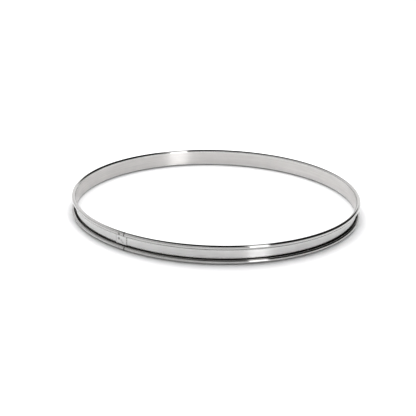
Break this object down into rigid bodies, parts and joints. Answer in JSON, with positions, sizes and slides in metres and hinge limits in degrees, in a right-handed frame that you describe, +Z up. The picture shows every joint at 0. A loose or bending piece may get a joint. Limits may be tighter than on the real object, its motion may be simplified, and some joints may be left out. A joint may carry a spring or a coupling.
{
  "type": "tart ring",
  "caption": "Low round stainless steel tart ring with both edges rolled outward and a lapped, spot-welded joint; stands on a tray and shapes a pastry case.",
  "frame": {"origin": "centre of the ring, in the plane of the surface it stands on", "axes": "+Z up along the ring's axis; -Y towards the front of the picture; the lapped joint lies at azimuth -124.6 degrees from +X"},
  "size_m": [0.309, 0.309, 0.019],
  "materials": {
    "stainless": "satin stainless sheet with fine lines along the strip; burnishing of the rolled edges and beside them is inferred from how dark they look"
  },
  "bodies": {
    "root": {"ring": "stainless"}
  },
  "joints": []
}
